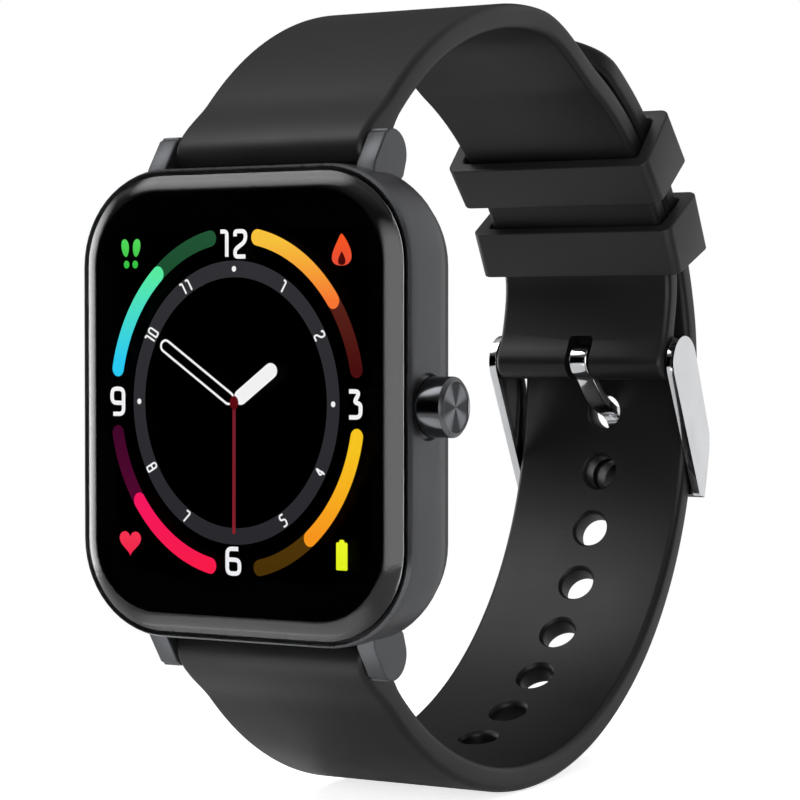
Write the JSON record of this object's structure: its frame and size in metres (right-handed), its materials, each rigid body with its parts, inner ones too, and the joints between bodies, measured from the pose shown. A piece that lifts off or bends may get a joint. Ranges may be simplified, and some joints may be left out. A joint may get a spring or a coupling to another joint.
{
  "type": "smartwatch",
  "caption": "Rounded-rectangle smartwatch with a turning push crown, domed glass and a silicone pin-buckle strap closed into a wrist loop.",
  "frame": {"origin": "centre of the flat sensor window on the back of the case, where the watch rests on the wrist", "axes": "+Y from the case back into the strap loop (towards the wrist), -Y out of the dial, +Z towards twelve o'clock, +X towards the crown"},
  "size_m": [0.0404, 0.0822, 0.0819],
  "materials": {
    "case": "satin anodised gunmetal",
    "cover_glass": "polished black-backed glass with rounded edges",
    "screen": "lit colour display",
    "seal": "matt",
    "crown": "brushed end, polished rim",
    "plastic": "fine matt",
    "silicone": "satin black silicone",
    "chrome": "polished",
    "steel": "turned",
    "board": "solder-masked board",
    "cell": "foil pouch",
    "gold": "gold plated",
    "flex": "polyimide film",
    "sensor_glass": "polished black lens"
  },
  "bodies": {
    "watch": {"case_body": "case", "cover_glass": "cover_glass", "display_seal": "seal", "display_panel": "screen", "display_flex": "flex", "battery": "cell", "main_board": "board", "vibration_motor": "steel", "back_cover": "plastic", "back_seal": "seal", "sensor_window": "sensor_glass", "sensor_board": "board", "charge_contact_1": "gold", "charge_contact_2": "gold", "charging_magnet_1": "steel", "charging_magnet_2": "steel", "back_screw_1": "steel", "back_screw_2": "steel", "back_screw_3": "steel", "back_screw_4": "steel", "crown_tube": "steel", "crown_spring": "steel", "crown_switch": "plastic", "upper_strap": "silicone", "lower_strap": "silicone", "fixed_keeper": "silicone", "upper_bar_tube": "steel", "upper_bar_spring": "steel", "lower_bar_tube": "steel", "lower_bar_spring": "steel", "buckle_bar_tube": "steel", "buckle_bar_spring": "steel"},
    "crown_drive": {"crown_encoder_wheel": "plastic"},
    "crown": {"crown_cap": "crown", "crown_stem": "steel", "crown_o_ring": "seal"},
    "motor_weight": {"vibration_weight": "steel"},
    "free_keeper": {"free_keeper": "silicone"},
    "buckle": {"buckle_frame": "chrome"},
    "tongue": {"buckle_tongue": "chrome"},
    "upper_pin_left": {"upper_bar_pin_left": "steel"},
    "upper_pin_right": {"upper_bar_pin_right": "steel"},
    "lower_pin_left": {"lower_bar_pin_left": "steel"},
    "lower_pin_right": {"lower_bar_pin_right": "steel"},
    "buckle_pin_left": {"buckle_bar_pin_left": "steel"},
    "buckle_pin_right": {"buckle_bar_pin_right": "steel"}
  },
  "joints": [
    {"name": "crown_spin", "type": "hinge", "parent": "watch", "child": "crown_drive", "pos_m": [0, -0.0067, 0], "axis": [1, 0, 0], "continuous": true},
    {"name": "crown_press", "type": "slide", "parent": "crown_drive", "child": "crown", "axis": [-1, 0, 0], "range_m": [0, 0.0005], "stiffness_N_per_m": 1500, "springref_m": -0.0003, "deforming": ["crown_spring"]},
    {"name": "motor_spin", "type": "hinge", "parent": "watch", "child": "motor_weight", "pos_m": [0.009, 0, -0.0115], "axis": [0, 1, 0], "continuous": true},
    {"name": "free_keeper_slide", "type": "hinge", "parent": "watch", "child": "free_keeper", "pos_m": [0, 0.028, 0], "axis": [1, 0, 0], "range_deg": [-5, 12]},
    {"name": "buckle_tilt", "type": "hinge", "parent": "watch", "child": "buckle", "pos_m": [0, 0.0612, 0.0036], "axis": [1, 0, 0], "range_deg": [0, 3.5]},
    {"name": "tongue_lift", "type": "hinge", "parent": "buckle", "child": "tongue", "pos_m": [0, 0.0612, 0.0036], "axis": [1, 0, 0], "range_deg": [0, 1.5]},
    {"name": "upper_pin_left_slide", "type": "slide", "parent": "watch", "child": "upper_pin_left", "axis": [1, 0, 0], "range_m": [0, 0.00115], "stiffness_N_per_m": 300, "springref_m": -0.001, "deforming": ["upper_bar_spring"]},
    {"name": "upper_pin_right_slide", "type": "slide", "parent": "watch", "child": "upper_pin_right", "axis": [-1, 0, 0], "range_m": [0, 0.00115], "stiffness_N_per_m": 300, "springref_m": -0.001, "deforming": ["upper_bar_spring"]},
    {"name": "lower_pin_left_slide", "type": "slide", "parent": "watch", "child": "lower_pin_left", "axis": [1, 0, 0], "range_m": [0, 0.00115], "stiffness_N_per_m": 300, "springref_m": -0.001, "deforming": ["lower_bar_spring"]},
    {"name": "lower_pin_right_slide", "type": "slide", "parent": "watch", "child": "lower_pin_right", "axis": [-1, 0, 0], "range_m": [0, 0.00115], "stiffness_N_per_m": 300, "springref_m": -0.001, "deforming": ["lower_bar_spring"]},
    {"name": "buckle_pin_left_slide", "type": "slide", "parent": "watch", "child": "buckle_pin_left", "axis": [1, 0, 0], "range_m": [0, 0.00055], "stiffness_N_per_m": 300, "springref_m": -0.001, "deforming": ["buckle_bar_spring"]},
    {"name": "buckle_pin_right_slide", "type": "slide", "parent": "watch", "child": "buckle_pin_right", "axis": [-1, 0, 0], "range_m": [0, 0.00055], "stiffness_N_per_m": 300, "springref_m": -0.001, "deforming": ["buckle_bar_spring"]}
  ]
}
